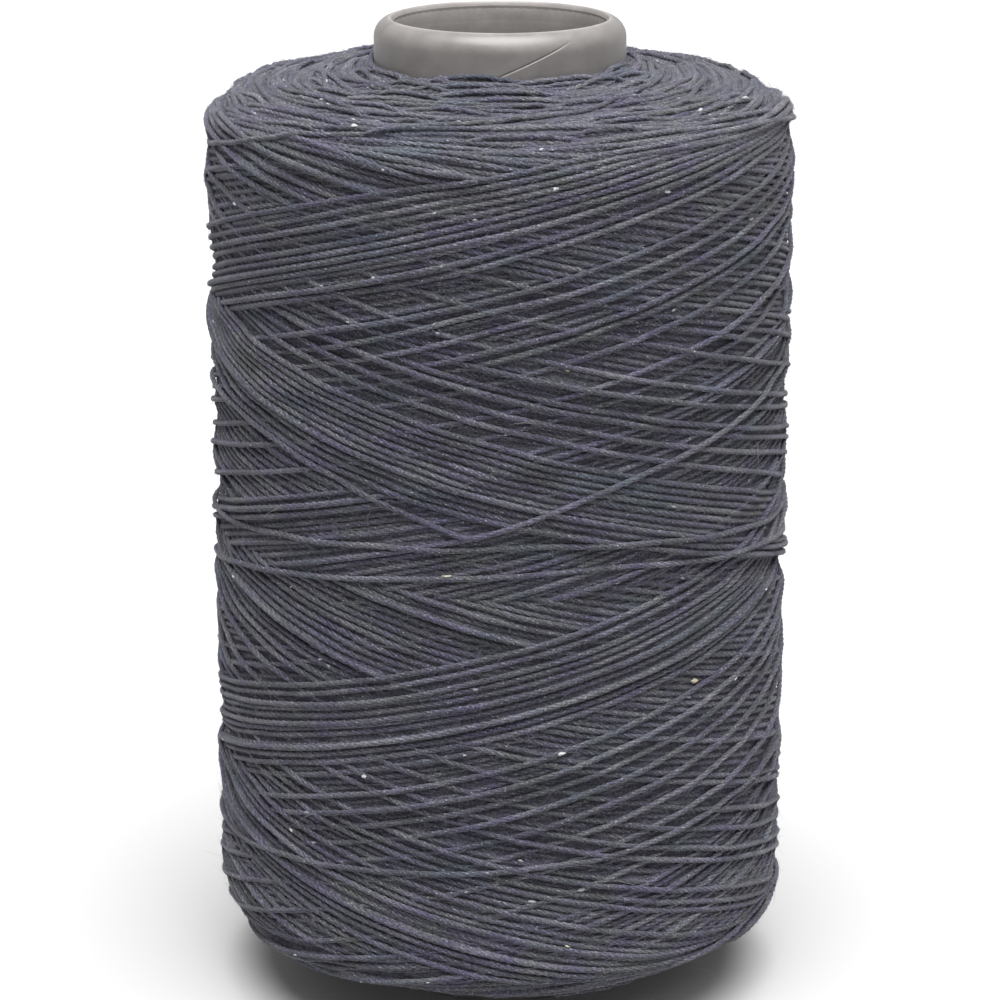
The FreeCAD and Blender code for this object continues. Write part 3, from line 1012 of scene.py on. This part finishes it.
def make_neps(places, material, rng, count):
    """Undyed specks of seed and knotted fibre: small lumps lengthened along the thread."""
    chosen = places[rng.integers(0, len(places), count)]
    centre, tangent, sideways, outward = (chosen[:, None, i:i + 3] for i in (0, 3, 6, 9))
    turn = np.arange(6) * (math.pi / 3)
    tilt = np.radians([-50, -15, 20, 55])
    ring_x = (np.cos(tilt)[:, None] * np.cos(turn)[None, :]).ravel()
    ring_y = (np.cos(tilt)[:, None] * np.sin(turn)[None, :]).ravel()
    ring_z = np.repeat(np.sin(tilt), 6)
    x, y, z = np.append(ring_x, (0, 0)), np.append(ring_y, (0, 0)), np.append(ring_z, (-1, 1))
    lumps = rng.uniform(0.6, 1.35, (count, len(x), 1))
    size = np.exp(rng.normal(math.log(0.15), 0.35, (count, 1, 1)))
    stretch = rng.uniform(1.2, 3.0, (count, 1, 1))
    shape = tangent * (z[None, :, None] * stretch) + sideways * x[None, :, None]
    shape = shape + outward * (0.7 * y[None, :, None])
    middle = centre + outward * 0.38 + sideways * rng.normal(0, 0.12, (count, 1, 1))
    points = (middle + shape * lumps * size).reshape(-1, 3)
    starts = np.arange(count) * len(x)
    first, col = starts[:, None], np.arange(6)[None, :]
    over = (col + 1) % 6
    bottom = np.stack([first + over, first + col, np.broadcast_to(first + 24, (count, 6))], axis=-1)
    cap = np.stack([first + 18 + col, first + 18 + over, np.broadcast_to(first + 25, (count, 6))], axis=-1)
    tints = {"tint": np.repeat(rng.uniform(0, 1, count), len(x))}
    fans = np.concatenate([bottom.reshape(-1, 3), cap.reshape(-1, 3)])
    piece = make_mesh("neps", points, [ring_quads(starts, 4, 6), fans], values=tints)
    place_on_root(piece, "cotton_yarn", material)


def make_lint(spans):
    """Fibres all over the thread, three times as many where it faces up, and a few neps."""
    rng = np.random.default_rng(23)
    places = open_places(spans)
    facing_up = places[places[:, 11] > 0.3]
    fuzzy_places = np.concatenate([places, facing_up, facing_up])
    dyed, pale = lint_material("dyed_lint", DYED_LINT), lint_material("pale_lint", PALE_LINT)
    for number in range(1, 6):
        make_fibres(fuzzy_places, dyed, rng, 12500, f"short_fibres_{number}", (0.5, 1.8), 0.019)
    make_fibres(fuzzy_places, dyed, rng, 3000, "long_fibres", (2.0, 4.5), 0.013)
    make_fibres(places, pale, rng, 160, "stray_fibres", (2.5, 6.0), 0.022)
    make_neps(places, nep_material(), rng, 330)


# --------------------------------------------------
# Stage
# --------------------------------------------------
# The camera looks down on the spool from the front. These are in metres, and the lens in millimetres.
VIEW_HEIGHT = 0.2059
VIEW_DISTANCE = 0.4672
VIEW_PITCH = math.radians(16.335)
LENS = 124.56
FLOOR_SIZE = 8.0


def make_camera():
    data = bpy.data.cameras.new("camera")
    data.lens = LENS
    data.sensor_width = 36.0
    camera = bpy.data.objects.new("camera", data)
    camera.location = (0.0, -VIEW_DISTANCE, VIEW_HEIGHT)
    camera.rotation_euler = (math.pi / 2 - VIEW_PITCH, 0, 0)
    bpy.context.scene.collection.objects.link(camera)
    bpy.context.scene.camera = camera


def make_lamp(name, kind, place, target, power):
    """A light at place that shines towards target."""
    data = bpy.data.lights.new(name, kind)
    data.energy = power
    lamp = bpy.data.objects.new(name, data)
    lamp.location = place
    lamp.rotation_euler = (Vector(target) - Vector(place)).to_track_quat("-Z", "Y").to_euler()
    bpy.context.scene.collection.objects.link(lamp)
    return data


def make_stage():
    half = FLOOR_SIZE / 2 / MM
    corners = [(-half, -half, 0), (half, -half, 0), (half, half, 0), (-half, half, 0)]
    floor = make_mesh("floor", corners, [np.array([[0, 1, 2, 3]])])
    material, _, shader = new_material("pale_floor", 0.95, 0.0)
    shader.inputs["Base Color"].default_value = (0.37, 0.37, 0.37, 1)
    floor.data.materials.append(material)
    world = bpy.data.worlds.new("studio")
    world.use_nodes = True
    world.node_tree.nodes["Background"].inputs["Color"].default_value = (1.0, 1.0, 1.0, 1)
    world.node_tree.nodes["Background"].inputs["Strength"].default_value = 0.6
    bpy.context.scene.world = world
    overhead = make_lamp("overhead", "SUN", (0.04, -0.22, 1.0), (0, 0, 0), 8.5)
    overhead.angle = math.radians(55)
    front = make_lamp("front_softbox", "AREA", (0.22, -1.0, 0.85), (0, 0, 0.12), 2.8)
    front.shape = "RECTANGLE"
    front.size, front.size_y = 0.5, 0.35
    bpy.context.scene.view_settings.view_transform = "Standard"


make_camera()
make_stage()
make_tube()
WINDING = wind()
SPANS = make_thread(WINDING, thread_material())
make_inner_winding(WINDING, core_material())
make_lint(SPANS)
